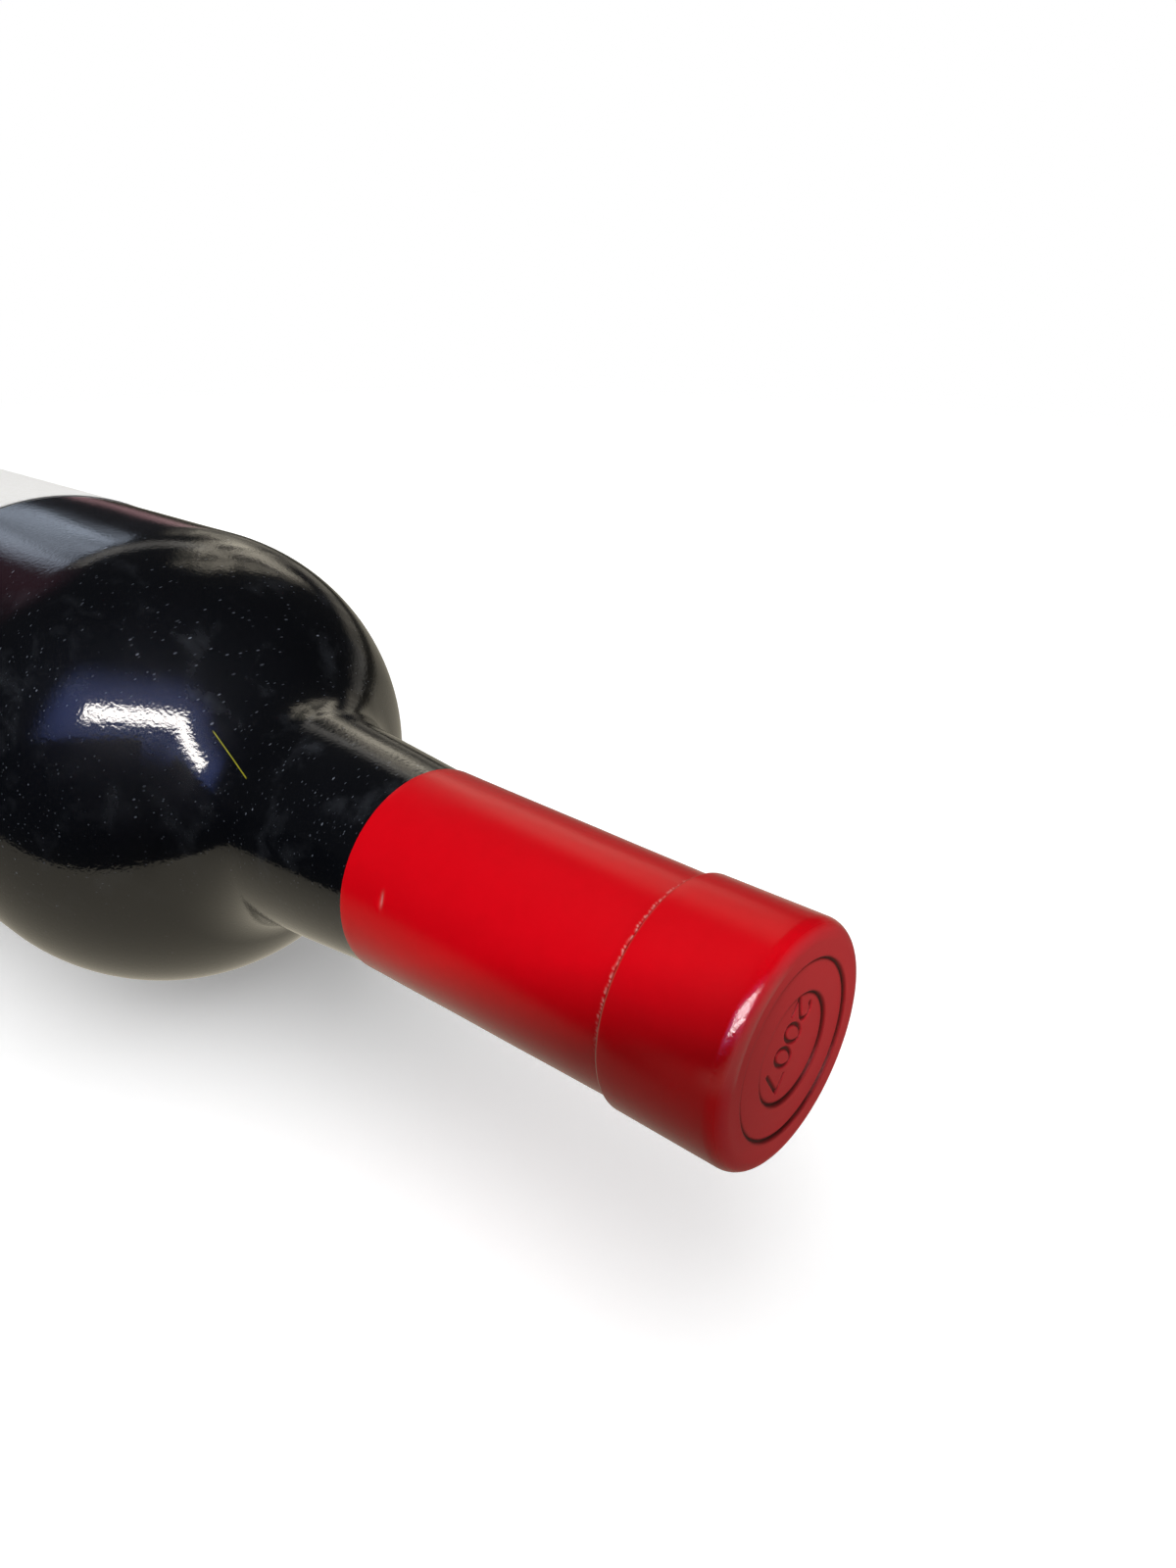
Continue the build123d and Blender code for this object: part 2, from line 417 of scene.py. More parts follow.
@dataclass(frozen=True)
class CapsuleFoil:
    """Tin foil capsule, spun onto the neck and lacquered red.

    The lacquer is saturated and satin, so it holds soft reflections, and the pressed end face is
    duller where the die has rubbed it. Its paler, pinker colour is painted sheen of grazing light.
    """

    lacquer: str = "#d80012"
    deep: str = "#cc000e"
    # Paler, pinker red on the end face: painted sheen of grazing light, over a rougher finish.
    face_sheen_tint: str = "#cc2a31"
    # Dark brown of painted shade in the rings, the year's strokes and the step's corner.
    groove: str = "#34100c"
    # Pale pink of painted glints along the step's corner and in the dent.
    glint_tint: str = "#dd9c97"
    # Tan of a painted reflection: the pale floor mirrored on the collar's rounded rim.
    rim_reflection_tint: str = "#b08068"
    roughness: float = 0.26
    face_roughness: float = 0.5
    buffing: float = 0.2                    # how much smoother the brushed edge is
    ior: float = 1.5
    specular: float = 0.19
    varnish_roughness: float = 0.07
    varnish_ior: float = 1.7
    mottle_length: float = 2.5 * MM
    grain_length: float = 0.35 * MM
    scratch_length: float = 0.5 * MM
    scratch_stretch: tuple[float, float, float] = (0.5, 1.6, 1.6)
    scratch_depth: float = 6.0              # as a multiple of the grain's
    relief_height: float = 0.1 * MM
    relief_strength: float = 0.12

    def material(self) -> bpy.types.Material:
        """Build the node material.

        Returns:
            The lacquered foil, with painted glints, a painted rim reflection, painted shade in its hollows
            and painted sheen on its end face.
        """
        material, tree, output = empty_material("Tin foil capsule, spun, red satin lacquer")
        place = add(tree, "ShaderNodeTexCoord").outputs["Object"]
        face, groove, glint, rim, edge = (
            add(tree, "ShaderNodeAttribute", attribute_name=mark).outputs["Fac"]
            for mark in ("end_face", "groove", "glint", "rim", "edge"))
        mottle = add(tree, "ShaderNodeTexNoise", {"Vector": place, "Scale": 1 / self.mottle_length,
                                                  "Detail": 5.0, "Roughness": 0.65})
        # Of these tints, the face tint is painted sheen, the groove tint painted shade, the glint tint
        # painted highlights and the rim tint a painted reflection.
        colour = layered(tree, self.deep, ((mottle.outputs[0], self.lacquer), (face, self.face_sheen_tint),
                                           (groove, self.groove), (glint, self.glint_tint), (rim, self.rim_reflection_tint)))
        rough = add(tree, "ShaderNodeMapRange", {"Value": face, "To Min": self.roughness,
                                                 "To Max": self.face_roughness})
        buffed = add(tree, "ShaderNodeMath", {0: edge, 1: -self.buffing, 2: rough.outputs[0]},
                     operation="MULTIPLY_ADD")
        grain = add(tree, "ShaderNodeTexNoise", {"Vector": place, "Scale": 1 / self.grain_length,
                                                 "Detail": 3.0})
        drawn = add(tree, "ShaderNodeMapping", {"Vector": place, "Scale": self.scratch_stretch})
        scratch = add(tree, "ShaderNodeTexNoise", {
            "Vector": drawn.outputs[0], "Scale": 1 / self.scratch_length, "Detail": 3.0,
            "Roughness": 0.7})
        brushed = add(tree, "ShaderNodeMath", {0: scratch.outputs[0], 1: edge}, operation="MULTIPLY")
        height = add(tree, "ShaderNodeMath", {0: brushed.outputs[0], 1: self.scratch_depth,
                                              2: grain.outputs[0]}, operation="MULTIPLY_ADD")
        bump = add(tree, "ShaderNodeBump", {"Height": height.outputs[0], "Strength": self.relief_strength,
                                            "Distance": self.relief_height})
        foil = add(tree, "ShaderNodeBsdfPrincipled", {
            "Base Color": colour, "Roughness": buffed.outputs[0], "IOR": self.ior,
            "Specular IOR Level": self.specular, "Coat Weight": edge,
            "Coat Roughness": self.varnish_roughness, "Coat IOR": self.varnish_ior,
            "Coat Normal": bump.outputs[0], "Normal": bump.outputs[0]})
        tree.links.new(foil.outputs[0], output.inputs["Surface"])
        return material


@dataclass(frozen=True)
class LabelPaper:
    """Uncoated label paper, cut and glued: matte and near white, with a faint fibre."""

    paper: str = "#fdfcfa"
    fibre_and_painted_line: str = "#f7f6f2"
    fibre_and_painted_line_length: float = 0.8 * MM
    fibre_height: float = 0.05 * MM
    fibre_strength: float = 0.25
    roughness: float = 0.75
    ior: float = 1.45

    def material(self) -> bpy.types.Material:
        """Build the node material.

        Returns:
            The paper.
        """
        material, tree, output = empty_material("Uncoated label paper, cut and glued")
        place = add(tree, "ShaderNodeTexCoord").outputs["Object"]
        noise = add(tree, "ShaderNodeTexNoise", {"Vector": place, "Scale": 1 / self.fibre_and_painted_line_length,
                                                 "Detail": 4.0, "Roughness": 0.7})
        ramp = add(tree, "ShaderNodeValToRGB", {"Fac": noise.outputs[0]})
        for stop, position, colour in zip(ramp.color_ramp.elements, (0.3, 0.62), (self.fibre_and_painted_line, self.paper)):
            stop.position = position
            stop.color = linear(colour)
        bump = add(tree, "ShaderNodeBump", {"Height": noise.outputs[0], "Strength": self.fibre_strength,
                                            "Distance": self.fibre_height})
        paper = add(tree, "ShaderNodeBsdfPrincipled", {"Base Color": ramp.outputs[0], "IOR": self.ior,
                                                       "Roughness": self.roughness,
                                                       "Normal": bump.outputs[0]})
        tree.links.new(paper.outputs[0], output.inputs["Surface"])
        return material


# ---------------------------------------------------------------- the bottle's sizes and pieces

@dataclass
class BottleSizes:
    """Sizes of the bottle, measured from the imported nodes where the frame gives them."""

    shoulder_radius: float = 32.3 * MM
    neck_root_radius: float = 14.6 * MM
    neck_taper: float = 0.09
    straight_length: float = 180.6 * MM     # base to the start of the shoulder
    heel_radius: float = 7.0 * MM
    bearing_width: float = 3.5 * MM
    punt_depth: float = 24.0 * MM
    punt_lip_radius: float = 1.5 * MM
    collar_length: float = 16.3 * MM
    collar_end_rounding: float = 2.1 * MM
    collar_rim_rounding: float = 0.5 * MM
    sleeve_top_radius: float = 14.32 * MM
    sleeve_bottom_radius: float = 14.93 * MM
    foil_wall: float = 0.3 * MM
    end_wall: float = 1.8 * MM
    base_x: float = field(init=False)
    end_x: float = field(init=False)
    mouth_x: float = field(init=False)
    sleeve_x: float = field(init=False)
    body_radius: float = field(init=False)
    collar_radius: float = field(init=False)
    axis_height: float = field(init=False)

    def __post_init__(self) -> None:
        """Read the lengths, the radii and the axis's height from the frame's boxes."""
        bottle_low, bottle_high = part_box("bottle")
        foil_low, foil_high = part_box("capsule")
        self.base_x, self.mouth_x = bottle_low[0], bottle_high[0]
        self.sleeve_x, self.end_x = foil_low[0], foil_high[0]
        self.body_radius = min(bottle_high[1], -bottle_low[1])
        self.collar_radius = (foil_high[2] - foil_low[2]) / 2
        self.axis_height = (foil_high[2] + foil_low[2]) / 2

    @property
    def step_x(self) -> float:
        """Where the collar steps down to the sleeve."""
        return self.end_x - self.collar_length

    @property
    def shoulder_x(self) -> float:
        """Where the straight body ends and the shoulder starts."""
        return self.base_x + self.straight_length

    def sleeve_radius(self, x: float) -> float:
        """Outer radius of the foil at x, a straight taper from the step to the lower edge."""
        share = (self.step_x - x) / (self.step_x - self.sleeve_x)
        return self.sleeve_top_radius + share * (self.sleeve_bottom_radius - self.sleeve_top_radius)


@dataclass
class GlassBottle:
    """The dark glass body with its punt, heel, shoulder and neck, up to the mouth."""

    sizes: BottleSizes
    segments: int = 288
    waviness: float = 0.035 * MM
    wave_length: float = 46 * MM
    label_margin: float = 12 * MM           # the waves fade in over this, off the label
    foil_margin: tuple[float, float] = (4 * MM, 1 * MM)
    heel_margin: tuple[float, float] = (4 * MM, 9 * MM)
    dust_facing: tuple[float, float] = (-0.75, 0.55)   # sine of the angle at which dust starts and is full
    dust_below: float = 0.12                # share that clings to the underside
    dust_on_body: float = 0.7               # share on the body beside that on the shoulder

    def neck_root(self) -> tuple[Array, float, float]:
        """Centre and end angles of the concave arc between the neck's cone and the shoulder's arc.

        The centre is one neck root radius outside the cone, and the two radii added up from the
        shoulder's centre.

        Returns:
            The centre, the angle where the arc meets the neck and the angle where it meets the shoulder.
        """
        s = self.sizes
        slant = math.hypot(1, s.neck_taper)
        shoulder = np.array([s.shoulder_x, s.body_radius - s.shoulder_radius])
        edge_r = s.sleeve_bottom_radius - s.foil_wall
        start_r = edge_r + s.neck_taper * s.sleeve_x + s.neck_root_radius * slant
        reach = s.shoulder_radius + s.neck_root_radius
        a = 1 + s.neck_taper ** 2
        b = -2 * (shoulder[0] + s.neck_taper * (start_r - shoulder[1]))
        c = shoulder[0] ** 2 + (start_r - shoulder[1]) ** 2 - reach ** 2
        centre_x = (-b + math.sqrt(b * b - 4 * a * c)) / (2 * a)
        centre = np.array([centre_x, start_r - s.neck_taper * centre_x])
        neck_angle = math.atan2(-1, -s.neck_taper)
        towards = shoulder - centre
        shoulder_angle = math.atan2(towards[1], towards[0])
        return centre, neck_angle, shoulder_angle

    def outline(self) -> Array:
        """Outline from the top of the punt, round the heel, body, shoulder and neck, to the mouth.

        Returns:
            Rows of x and radius.
        """
        s = self.sizes
        lip_r = s.body_radius - s.heel_radius - s.bearing_width
        dome_radius = (lip_r ** 2 + s.punt_depth ** 2) / (2 * s.punt_depth)
        dome_x = s.base_x + s.punt_depth - dome_radius
        dome_end = math.acos(min(1.0, (s.base_x + s.punt_lip_radius - dome_x) / dome_radius))
        dome_foot = (dome_x + dome_radius * math.cos(dome_end), dome_radius * math.sin(dome_end))
        centre, neck_angle, shoulder_angle = self.neck_root()
        shoulder = (s.shoulder_x, s.body_radius - s.shoulder_radius)
        finish_r = s.collar_radius - s.foil_wall
        mouth_rounding = s.collar_end_rounding - s.foil_wall
        step_x = s.step_x + s.foil_wall
        top_r = s.sleeve_top_radius - s.foil_wall
        low_r = s.sleeve_bottom_radius - s.foil_wall
        lip = (s.base_x + s.punt_lip_radius, dome_foot[1] + s.punt_lip_radius)
        neck_end = centre + s.neck_root_radius * np.array([math.cos(neck_angle), math.sin(neck_angle)])
        parts = [
            arc((dome_x, 0), dome_radius, 0, dome_end, 40),
            arc(lip, s.punt_lip_radius, 1.5 * math.pi, math.pi, 8),
            line((s.base_x, lip[1]), (s.base_x, s.body_radius - s.heel_radius), 6),
            arc((s.base_x + s.heel_radius, s.body_radius - s.heel_radius), s.heel_radius,
                math.pi, math.pi / 2, 18),
            line((s.base_x + s.heel_radius, s.body_radius), (s.shoulder_x, s.body_radius), 60),
            arc(shoulder, s.shoulder_radius, math.pi / 2, shoulder_angle + math.pi, 56),
            # The hollow of the neck's root turns the other way from the shoulder
            arc((centre[0], centre[1]), s.neck_root_radius, shoulder_angle, neck_angle, 34),
            line(tuple(neck_end), (s.sleeve_x, low_r), 18),
            line((s.sleeve_x, low_r), (step_x, top_r), 8),
            line((step_x, top_r), (step_x, finish_r), 3),
            line((step_x, finish_r), (s.mouth_x - mouth_rounding, finish_r), 6),
            arc((s.mouth_x - mouth_rounding, finish_r - mouth_rounding), mouth_rounding, math.pi / 2, 0, 6),
            line((s.mouth_x, finish_r - mouth_rounding), (s.mouth_x, 0), 4),
            np.array([[s.mouth_x, 0.0]]),
        ]
        return np.concatenate(parts)

    def relief(self, x: Array, radius: Array, turn: Array) -> Array:
        """Waviness of mould-blown glass: none under the foil, the label and at the base's ring.

        It only presses inwards, so that the glass stays inside the CAD model's box.

        Args:
            x: positions along the axis.
            radius: distances from it; not used.
            turn: angles round it, from +Y upwards.

        Returns:
            Heights, all nought or less.
        """
        s = self.sizes
        label_low, label_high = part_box("label")
        free = smooth_step(x, label_high[0], label_high[0] + self.label_margin)
        free = np.maximum(free, 1 - smooth_step(x, label_low[0] - self.label_margin, label_low[0]))
        free = free * (1 - smooth_step(x, s.sleeve_x - self.foil_margin[0], s.sleeve_x - self.foil_margin[1]))
        free = free * smooth_step(x, s.base_x + self.heel_margin[0], s.base_x + self.heel_margin[1])
        return -free * (self.waviness + waves(x, turn, 7, self.waviness, self.wave_length, 5))

    def dust(self, x: Array, radius: Array, turn: Array) -> Array:
        """How much dust lies: most on what faces up, and more round the shoulder and the neck's root.

        Args:
            x: positions along the axis.
            radius: distances from it; not used.
            turn: angles round it, from +Y upwards.

        Returns:
            Shares from 0 to 1.
        """
        s = self.sizes
        upward = smooth_step(np.sin(turn), *self.dust_facing)
        shoulder = smooth_step(x, s.shoulder_x - 30 * MM, s.shoulder_x + 10 * MM)
        on_side = self.dust_below + (1 - self.dust_below) * upward
        return on_side * (self.dust_on_body + (1 - self.dust_on_body) * shoulder)

    def flatten(self, piece: bpy.types.Object) -> None:
        """Press the underside flat at z = 0, as the resting strip is.

        Args:
            piece: the glass, whose mesh is changed.
        """
        mesh = piece.data
        points = np.empty(len(mesh.vertices) * 3, np.float32)
        mesh.vertices.foreach_get("co", points)
        points = points.reshape(-1, 3)
        points[:, 2] = np.maximum(points[:, 2], 0)
        mesh.vertices.foreach_set("co", points.ravel())
        mesh.update()

    def build(self) -> bpy.types.Object:
        """Make the glass piece, dress it and let it stand for the bottle's node.

        Returns:
            The new piece.
        """
        turned = Turned(self.outline(), self.segments, self.sizes.axis_height)
        piece = turned.build("bottle_glass", self.relief, {"dust": self.dust})
        self.flatten(piece)
        piece.data.materials.append(BottleGlass().material())
        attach(piece, "root")
        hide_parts("bottle")
        return piece


@dataclass(frozen=True)
class PressedYear:
    """Four plain digits pressed into the middle of the end face, as single-line strokes."""

    centre: tuple[float, float] = (-0.8 * MM, 0.9 * MM)    # y and height above the axis
    turn: float = math.radians(-127.8)
    pitch: float = 2.85 * MM
    height: float = 3.8 * MM
    width: float = 2.1 * MM
    stroke: float = 0.23 * MM                              # half the stroke's width

    def strokes(self) -> list[tuple[Array, Array]]:
        """Strokes of 2, 0, 0 and 7, centred on the row of digits.

        The 2 is an arc over a straight foot, the 0 an ellipse and the 7 two straight strokes.

        Returns:
            One pair of start points and end points for each digit.
        """
        w, h = self.width / 2, self.height / 2
        bow = np.linspace(math.radians(160), math.radians(-40), 12)
        two = np.concatenate([
            np.stack([w * np.cos(bow), h - w + w * np.sin(bow)], 1),
            [[-w, -h], [w, -h]]])
        ring = np.linspace(0, 2 * math.pi, 25)
        nought = np.stack([w * np.cos(ring), h * np.sin(ring)], 1)
        seven = np.array([[-w, h], [w, h], [-0.35 * w, -h]])
        lines = []
        for place, shape in enumerate((two, nought, nought, seven)):
            moved = shape + [(place - 1.5) * self.pitch, 0]
            lines.append((moved[:-1], moved[1:]))
        return lines

    def depth(self, y: Array, z: Array) -> Array:
        """How deep each point lies in a stroke, from 0 outside to 1 along its middle.

        It is 1 less the distance to the nearest stroke over the stroke's half width, eased.

        Args:
            y: sideways positions on the end face.
            z: heights above the axis.

        Returns:
            Depths of the same shape.
        """
        cos, sin = math.cos(self.turn), math.sin(self.turn)
        flat = np.stack([y.ravel() - self.centre[0], z.ravel() - self.centre[1]], 1)
        local = np.stack([flat @ [cos, sin], flat @ [-sin, cos]], 1)
        nearest = np.full(len(local), 1.0)
        for starts, ends in self.strokes():
            run = ends - starts
            share = ((local[:, None] - starts) * run).sum(2) / (run * run).sum(1)
            foot = starts + np.clip(share, 0, 1)[..., None] * run
            nearest = np.minimum(nearest, np.linalg.norm(local[:, None] - foot, axis=2).min(1))
        depth = 1 - smooth_step(nearest, self.stroke * 0.45, self.stroke * 1.5)
        return depth.reshape(y.shape)


@dataclass
class FoilCapsule:
    """The red foil over the neck and collar, with two pressed rings and a small dent."""

    sizes: BottleSizes
    segments: int = 400
    outer_ring: float = 10.73 * MM
    inner_ring: float = 6.64 * MM
    recess_step: float = 0.3 * MM
    groove_depth: float = 0.3 * MM
    groove_half_width: float = 0.3 * MM
    face_stops: tuple[float, ...] = (11.3 * MM, 10.1 * MM, 7.2 * MM, 6.0 * MM, 0.1 * MM)
    face_counts: tuple[int, ...] = (8, 18, 10, 18, 70)     # rows up to each stop, close at the rings
    ring_shade_width: float = 0.26 * MM           # how wide the painted shade in a ring is
    year_depth: float = 0.28 * MM
    year_shade: float = 0.92
    corner_shade: float = 0.75
    ripple: float = 0.02 * MM
    crease: float = 0.02 * MM
    root_rounding: float = 0.35 * MM        # in the step's corner
    step_zone: float = 1.6 * MM             # the stretch before the step that has the creases
    dent_zone: float = 1.8 * MM             # either side of the dent
    dent_back: float = 7.2 * MM             # from the lower edge
    dent_turn: float = math.radians(20)     # measured from the side facing -Y, upwards
    dent_depth: float = 0.26 * MM
    dent_lip: float = 0.12 * MM
    dent_glint_cover: float = 0.75                # how strong the painted glint in the dent's hollow is
    brushed_turn: float = math.radians(136)            # the middle of each stretch, from +Y upwards: brushed edge, painted glints, painted rim reflection
    glint_turn: float = math.radians(128)
    rim_reflection_turn: float = math.radians(205)
    year: PressedYear = PressedYear()

    def face_depth(self, radius: Array) -> Array:
        """Depth of the end face: a step at each ring, and a rounded groove along it.

        Args:
            radius: distances from the axis.

        Returns:
            Depths of the same shape.
        """
        depth = np.zeros_like(radius)
        for ring in (self.outer_ring, self.inner_ring):
            edge = self.groove_half_width
            depth += self.recess_step * (1 - smooth_step(radius, ring - edge, ring + edge))
            depth += self.groove_depth * np.exp(-((radius - ring) / (0.55 * edge)) ** 2)
        return depth

    def outline(self) -> Array:
        """Closed outline: inside from the seal to the lower edge, outside back to the end face.

        Returns:
            Rows of x and radius, closest together at the dent, the rings and the year.
        """
        s = self.sizes
        gap = 0.02 * MM
        inner_low = s.sleeve_bottom_radius - s.foil_wall + gap
        inner_top = s.sleeve_top_radius - s.foil_wall + gap
        collar_in = s.collar_radius - s.foil_wall + gap
        seal_x = s.mouth_x + gap
        lip = 0.08 * MM
        rim = s.collar_rim_rounding
        end = s.collar_end_rounding
        root = self.root_rounding
        step_low = s.step_x - self.step_zone
        flat_r = s.collar_radius - end
        dent_low = s.sleeve_x + self.dent_back - self.dent_zone
        dent_high = s.sleeve_x + self.dent_back + self.dent_zone
        starts = (flat_r, *self.face_stops[:-1])
        radii = np.concatenate([
            np.linspace(start, stop, count, endpoint=stop == self.face_stops[-1])
            for start, stop, count in zip(starts, self.face_stops, self.face_counts)])
        face = np.stack([s.end_x - self.face_depth(radii), radii], 1)
        parts = [
            line((seal_x, 0), (seal_x, collar_in), 3),
            line((seal_x, collar_in), (s.step_x + s.foil_wall + gap, collar_in), 3),
            line((s.step_x + s.foil_wall + gap, inner_top), (s.sleeve_x, inner_low), 6),
            line((s.sleeve_x, inner_low), (s.sleeve_x, s.sleeve_bottom_radius - lip), 3),
            arc((s.sleeve_x + lip, s.sleeve_bottom_radius - lip), lip, math.pi, math.pi / 2, 4),
            line((s.sleeve_x + lip, s.sleeve_bottom_radius), (dent_low, s.sleeve_radius(dent_low)), 6),
            line((dent_low, s.sleeve_radius(dent_low)), (dent_high, s.sleeve_radius(dent_high)), 28),
            line((dent_high, s.sleeve_radius(dent_high)), (step_low, s.sleeve_top_radius), 20),
            line((step_low, s.sleeve_top_radius), (s.step_x - root, s.sleeve_top_radius), 8),
            arc((s.step_x - root, s.sleeve_top_radius + root), root, -math.pi / 2, 0, 5),
            arc((s.step_x + rim, s.collar_radius - rim), rim, math.pi, math.pi / 2, 7),
            line((s.step_x + rim, s.collar_radius), (s.end_x - end, s.collar_radius), 8),
            arc((s.end_x - end, flat_r), end, math.pi / 2, 0, 14),
            face,
            np.array([[s.end_x - self.face_depth(np.array([0.0]))[0], 0.0]]),
        ]
        return np.concatenate(parts)

    def outside(self, x: Array, radius: Array) -> Array:
        """Tell the sleeve's outer side from its hidden inner side.

        Args:
            x: positions along the axis.
            radius: distances from it.

        Returns:
            One on the outer side and nought on the inner side.
        """
        s = self.sizes
        share = np.clip((s.step_x - x) / (s.step_x - s.sleeve_x), 0, 1)
        outer = s.sleeve_top_radius + share * (s.sleeve_bottom_radius - s.sleeve_top_radius)
        return (radius > outer - s.foil_wall / 2).astype(float)

    def from_dent(self, x: Array, turn: Array) -> tuple[Array, Array]:
        """How far each point lies from the dent's middle.

        Args:
            x: positions along the axis.
            turn: angles round it, from +Y upwards.

        Returns:
            Millimetres along the axis, towards the mouth, and round it.
        """
        s = self.sizes
        along = (x - s.sleeve_x - self.dent_back) / MM
        side = np.mod(turn - (math.pi - self.dent_turn) + math.pi, 2 * math.pi) - math.pi
        return along, side * s.sleeve_bottom_radius / MM

    def dent(self, x: Array, turn: Array) -> Array:
        """A fingernail dent: a short hollow with a sharp raised lip on the side towards the mouth.

        Both are bell curves of the distance from their middles, along the axis and round it.

        Args:
            x: positions along the axis.
            turn: angles round it, from +Y upwards.

        Returns:
            Heights of the same shape.
        """
        along, around = self.from_dent(x, turn)
        hollow = np.exp(-(along / 0.5) ** 2 - (around / 0.9) ** 2)
        lip = np.exp(-((along - 0.6) / 0.3) ** 2 - ((around + 0.2) / 0.8) ** 2)
        return self.dent_lip * lip - self.dent_depth * hollow

    def wrinkles(self, x: Array, turn: Array) -> Array:
        """Tiny creases where the spun foil gathers in the step's corner.

        They are a sum of sine waves round the axis, under a bell curve along it.

        Args:
            x: positions along the axis.
            turn: angles round it, from +Y upwards.

        Returns:
            Heights of the same shape.
        """
        s = self.sizes
        near = np.exp(-((x - s.step_x + 0.45 * MM) / (0.4 * MM)) ** 2)
        rng = np.random.default_rng(11)
        creases = np.zeros_like(turn)
        for count in (67, 103, 149, 181):
            creases += np.sin(count * turn + rng.uniform(0, 6.28))
        return near * self.crease * creases / 2

    def relief(self, x: Array, radius: Array, turn: Array) -> Array:
        """Everything raised or pressed: spinning ripples, step creases, the dent and the year.

        Args:
            x: positions along the axis.
            radius: distances from it.
            turn: angles round it, from +Y upwards.

        Returns:
            Heights of the same shape.
        """
        s = self.sizes
        on_sleeve = self.outside(x, radius) * (1 - smooth_step(x, s.step_x - 0.3 * MM, s.step_x))
        fade = smooth_step(x, s.sleeve_x + 0.5 * MM, s.sleeve_x + 3 * MM)
        ripple = waves(x, turn, 3, self.ripple, 30 * MM, 4) - self.ripple
        total = on_sleeve * (fade * ripple + self.dent(x, turn) + self.wrinkles(x, turn))
        inside = (radius < self.inner_ring - 0.2 * MM) & (x > s.end_x - s.end_wall / 2)
        y, z = radius * np.cos(turn), radius * np.sin(turn)
        pressed = np.zeros_like(x)
        pressed[inside] = self.year.depth(y[inside], z[inside])
        return total - self.year_depth * pressed

    def painted_groove_shade(self, x: Array, radius: Array, turn: Array) -> Array:
        """Painted shade in the hollows: where the rings, the year and the step's corner are darkened.

        Args:
            x: positions along the axis.
            radius: distances from it.
            turn: angles round it, from +Y upwards.

        Returns:
            Shares from 0 to 1.
        """
        s = self.sizes
        face = x > s.end_x - s.end_wall * 0.8
        rings = np.zeros_like(x)
        for ring in (self.outer_ring, self.inner_ring):
            rings = np.maximum(rings, np.exp(-((radius - ring) / self.ring_shade_width) ** 2))
        y, z = radius * np.cos(turn), radius * np.sin(turn)
        inside = face & (radius < self.inner_ring - 0.2 * MM)
        year = np.zeros_like(x)
        year[inside] = self.year.depth(y[inside], z[inside])
        on_face = np.where(face & (radius < 12 * MM), np.maximum(rings, year * self.year_shade), 0)
        corner = np.exp(-((x - s.step_x + 0.12 * MM) / (0.16 * MM)) ** 2) * self.outside(x, radius)
        return np.clip(on_face + self.corner_shade * corner, 0, 1)

    def face_mark(self, x: Array, radius: Array, turn: Array) -> Array:
        """The pressed end face, fading over its rounded edge.

        Args:
            x: positions along the axis.
            radius: distances from it.
            turn: angles round it, from +Y upwards; not used.

        Returns:
            One on the face and nought elsewhere.
        """
        s = self.sizes
        outer = smooth_step(x, s.end_x - 0.9 * MM, s.end_x - 0.15 * MM)
        rim = outer * (radius < s.collar_radius - 0.3 * MM)
        sunk = (1 - outer) * (radius < self.outer_ring) * (x > s.end_x - s.end_wall * 0.8)
        return rim + sunk

    def edge_mark(self, x: Array, radius: Array, turn: Array) -> Array:
        """Where the die has brushed the rounded edge of the end face, on its upper front.

        Args:
            x: positions along the axis.
            radius: distances from it.
            turn: angles round it, from +Y upwards.

        Returns:
            Shares from 0 to 1.
        """
        s = self.sizes
        near = np.exp(-((s.end_x - 1.0 * MM - x) / (1.1 * MM)) ** 2)
        front = smooth_step(np.cos(turn - self.brushed_turn), 0.8, 0.97)
        return near * front * (radius > s.collar_radius - s.collar_end_rounding * 1.1)

    def glint_mark(self, x: Array, radius: Array, turn: Array) -> Array:
        """Painted glints: fine pale dashes along the step's corner, on the upper front, and a pale spot in
        the dent.

        Args:
            x: positions along the axis.
            radius: distances from it.
            turn: angles round it, from +Y upwards.

        Returns:
            Shares from 0 to 1.
        """
        s = self.sizes
        rng = np.random.default_rng(23)
        dashes = sum(np.sin(n * turn + rng.uniform(0, 6.28)) for n in (59, 97, 131, 173, 199)) / 5
        wander = 0.08 * MM * np.sin(31 * turn + 1.0) + 0.06 * MM * np.sin(83 * turn)
        band = np.exp(-((x - s.step_x + 0.42 * MM + wander) / (0.13 * MM)) ** 2)
        front = np.cos(turn - self.glint_turn)
        corner_glints = band * smooth_step(dashes, -0.25, 0.5) * smooth_step(front, 0.55, 0.95)
        along, around = self.from_dent(x, turn)
        dent_glint = np.exp(-((along - 0.25) / 0.28) ** 2 - (around / 0.75) ** 2)
        return self.outside(x, radius) * np.maximum(corner_glints, self.dent_glint_cover * dent_glint)

    def rim_mark(self, x: Array, radius: Array, turn: Array) -> Array:
        """Painted reflection of the pale floor: a thin tan line on the collar's rounded edge, strongest on
        its lower front.

        Args:
            x: positions along the axis.
            radius: distances from it.
            turn: angles round it, from +Y upwards.

        Returns:
            Shares from 0 to 1.
        """
        s = self.sizes
        line_at = np.exp(-((x - s.step_x - 0.12 * MM) / (0.16 * MM)) ** 2)
        low = smooth_step(np.cos(turn - self.rim_reflection_turn), 0.2, 0.85)
        return line_at * (radius > s.collar_radius - 0.55 * MM) * (0.25 + 0.75 * low)

    def build(self) -> bpy.types.Object:
        """Make the foil piece, dress it and let it stand for the capsule's node.

        Returns:
            The new piece.
        """
        turned = Turned(self.outline(), self.segments, self.sizes.axis_height)
        piece = turned.build("capsule_foil", self.relief, {
            "groove": self.painted_groove_shade, "end_face": self.face_mark, "glint": self.glint_mark,
            "rim": self.rim_mark, "edge": self.edge_mark})
        piece.data.materials.append(CapsuleFoil().material())
        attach(piece, "root")
        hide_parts("capsule")
        return piece


